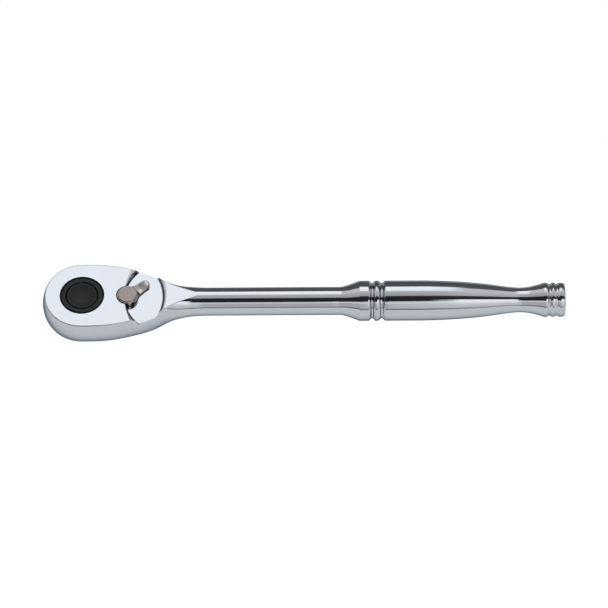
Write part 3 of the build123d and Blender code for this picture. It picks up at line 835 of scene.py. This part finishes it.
def build_floor():
    """A pale floor that glows a little, and ends behind the tool."""
    made, shader, _, _ = material("pale_floor")
    shader.inputs["Base Color"].default_value = (0.4, 0.4, 0.4, 1)
    shader.inputs["Roughness"].default_value = 0.9
    shader.inputs["Emission Color"].default_value = (1, 1, 1, 1)
    shader.inputs["Emission Strength"].default_value = 0.83
    far, behind = FLOOR_SIZE
    verts = []
    for x, y in ((-far, -far), (far, -far), (far, behind), (-far, behind)):
        rise = (x - FLOOR_TOUCH) * sin(FLOOR_SLOPE) / cos(FLOOR_SLOPE)
        verts.append((x, y, rise - FLOOR_GAP))
    floor = make_object("floor", verts, [(0, 1, 2, 3)], made)


# The studio is a tent of long panels that run beside the tool. Each entry is a place,
# as an angle from the front horizon up over the top to the back horizon, and the
# brightness there. The panels change a little from the head's side to the knob's side.
OVER = [(80, 0.03), (86, 0.64), (100, 0.72), (112, 0.9), (116, 1.6), (142, 1.72)]
BACK = [(145, 0.15), (180, 0.15)]
HEAD_SIDE = [(0, 0.3), (6, 0.34), (11, 0.71), (36, 0.71), (40, 1.1), (46, 1.1), (51, 0.03)]
GRIP_SIDE = [(0, 0.3), (6, 0.34), (11, 0.9), (36, 1.0), (44, 1.25), (49, 1.1), (54, 0.03)]
KNOB_SIDE = [(0, 0.4), (6, 0.5), (11, 0.9), (30, 1.1), (46, 1.55), (58, 1.7), (63, 0.04)]
KNOB_OVER = [(80, 0.04), (86, 0.75), (112, 0.9), (116, 1.0), (136, 0.9)]
KNOB_BACK = [(140, 0.15), (180, 0.15)]
LEFT_OVER = [(80, 0.03), (86, 0.6), (112, 0.8), (116, 0.95), (142, 1.0)]
END_LEVEL = 0.15             # the tent's two ends are dim
BRIGHTEST = 1.8              # above every brightness in the tables
TENT_GAIN = 1.16
# where one set of panels gives way to the next, by the direction's share along X
HEAD_TO_GRIP = (0.012, 0.035)
GRIP_TO_KNOB = (0.08, 0.19)
HEAD_TO_LEFT = (0.12, 0.3)
SIDES_TO_ENDS = (0.8, 0.97)


def build_studio():
    """The tent of panels as the world; the camera itself sees plain white."""
    world = bpy.data.worlds.new("studio")
    scene.world = world
    world.use_nodes = True
    tree = world.node_tree
    tree.nodes.clear()

    def add(kind, links=(), **values):
        node = tree.nodes.new(kind)
        for key, value in values.items():
            setattr(node, key, value)
        for source, target in links:
            tree.links.new(source, node.inputs[target])
        return node

    def step(value, span):
        node = add("ShaderNodeMapRange", [(value, "Value")], interpolation_type="SMOOTHSTEP")
        node.inputs["From Min"].default_value = span[0]
        node.inputs["From Max"].default_value = span[1]
        return node.outputs["Result"]

    place = add("ShaderNodeTexCoord")
    split = add("ShaderNodeSeparateXYZ", [(place.outputs["Generated"], "Vector")])
    front = add("ShaderNodeMath", [(split.outputs["Y"], 0)], operation="MULTIPLY")
    front.inputs[1].default_value = -1.0
    above = add("ShaderNodeMath", [(split.outputs["Z"], 0)], operation="MAXIMUM")
    above.inputs[1].default_value = 0.0
    sides = [(above.outputs["Value"], 0), (front.outputs["Value"], 1)]
    turn = add("ShaderNodeMath", sides, operation="ARCTAN2")
    # half a turn, front horizon to back horizon, is the whole length of a colour ramp
    scaled = add("ShaderNodeMapRange", [(turn.outputs["Value"], "Value")])
    scaled.inputs["From Max"].default_value = pi

    def panels(table):
        ramp = add("ShaderNodeValToRGB", [(scaled.outputs["Result"], "Fac")])
        elements = ramp.color_ramp.elements
        elements.remove(elements[-1])
        for index, (angle, level) in enumerate(table):
            one = elements[0] if index == 0 else elements.new(angle / 180)
            one.position = angle / 180
            one.color = (level / BRIGHTEST, level / BRIGHTEST, level / BRIGHTEST, 1)
        return ramp.outputs["Color"]

    def blended(factor, first, second):
        # the colours are sockets 6 and 7 of the Mix node, and its result is output 2
        node = add("ShaderNodeMix", data_type="RGBA")
        tree.links.new(factor, node.inputs["Factor"])
        tree.links.new(first, node.inputs[6])
        tree.links.new(second, node.inputs[7])
        return node.outputs[2]

    along = split.outputs["X"]
    tent = blended(
        step(along, HEAD_TO_GRIP),
        panels(HEAD_SIDE + OVER + BACK),
        panels(GRIP_SIDE + OVER + BACK),
    )
    tent = blended(step(along, GRIP_TO_KNOB), tent, panels(KNOB_SIDE + KNOB_OVER + KNOB_BACK))
    left = add("ShaderNodeMath", [(along, 0)], operation="MULTIPLY")
    left.inputs[1].default_value = -1.0
    left_panels = panels(HEAD_SIDE + LEFT_OVER + BACK)
    tent = blended(step(left.outputs["Value"], HEAD_TO_LEFT), tent, left_panels)
    reach = add("ShaderNodeMath", [(along, 0)], operation="ABSOLUTE")
    tent = blended(step(reach.outputs["Value"], SIDES_TO_ENDS), tent, panels([(0, END_LEVEL)]))
    lit = add("ShaderNodeBackground", [(tent, "Color")])
    lit.inputs["Strength"].default_value = BRIGHTEST * TENT_GAIN
    plain = add("ShaderNodeBackground")
    plain.inputs["Color"].default_value = (1, 1, 1, 1)
    ray = add("ShaderNodeLightPath")
    both = add(
        "ShaderNodeMixShader",
        [(ray.outputs["Is Camera Ray"], 0), (lit.outputs[0], 1), (plain.outputs[0], 2)],
    )
    add("ShaderNodeOutputWorld", [(both.outputs[0], "Surface")])


# ---- Camera ----
ELEVATION = radians(56)
ROLL = radians(0.325)
LENS = 200.0
SENSOR = 36.0
VIEW_WIDTH = 233.0           # millimetres across the picture, at the handle
AIM_X = 84.8
AIM_DROP = 1.1               # the middle of the picture lies this far below the handle's axis


def build_camera():
    """A long lens from the front, above the tool."""
    data = bpy.data.cameras.new("camera")
    data.lens = LENS
    data.sensor_width = SENSOR
    data.clip_start = 0.01
    data.clip_end = 20.0
    camera = bpy.data.objects.new("camera", data)
    scene.collection.objects.link(camera)
    scene.camera = camera
    back = Vector((0, -cos(ELEVATION), sin(ELEVATION)))
    level_up = Vector((0, sin(ELEVATION), cos(ELEVATION)))
    across = Vector((1, 0, 0)) * cos(ROLL) - level_up * sin(ROLL)
    up = level_up * cos(ROLL) + Vector((1, 0, 0)) * sin(ROLL)
    aim = Vector((AIM_X, 0, HANDLE_Z)) - level_up * AIM_DROP
    place = (aim + back * VIEW_WIDTH * LENS / SENSOR) * MM
    rotation = Matrix((across, up, back)).transposed().to_4x4()
    camera.matrix_world = Matrix.Translation(place) @ rotation


build_floor()
build_studio()
build_camera()
scene.view_settings.view_transform = "Standard"
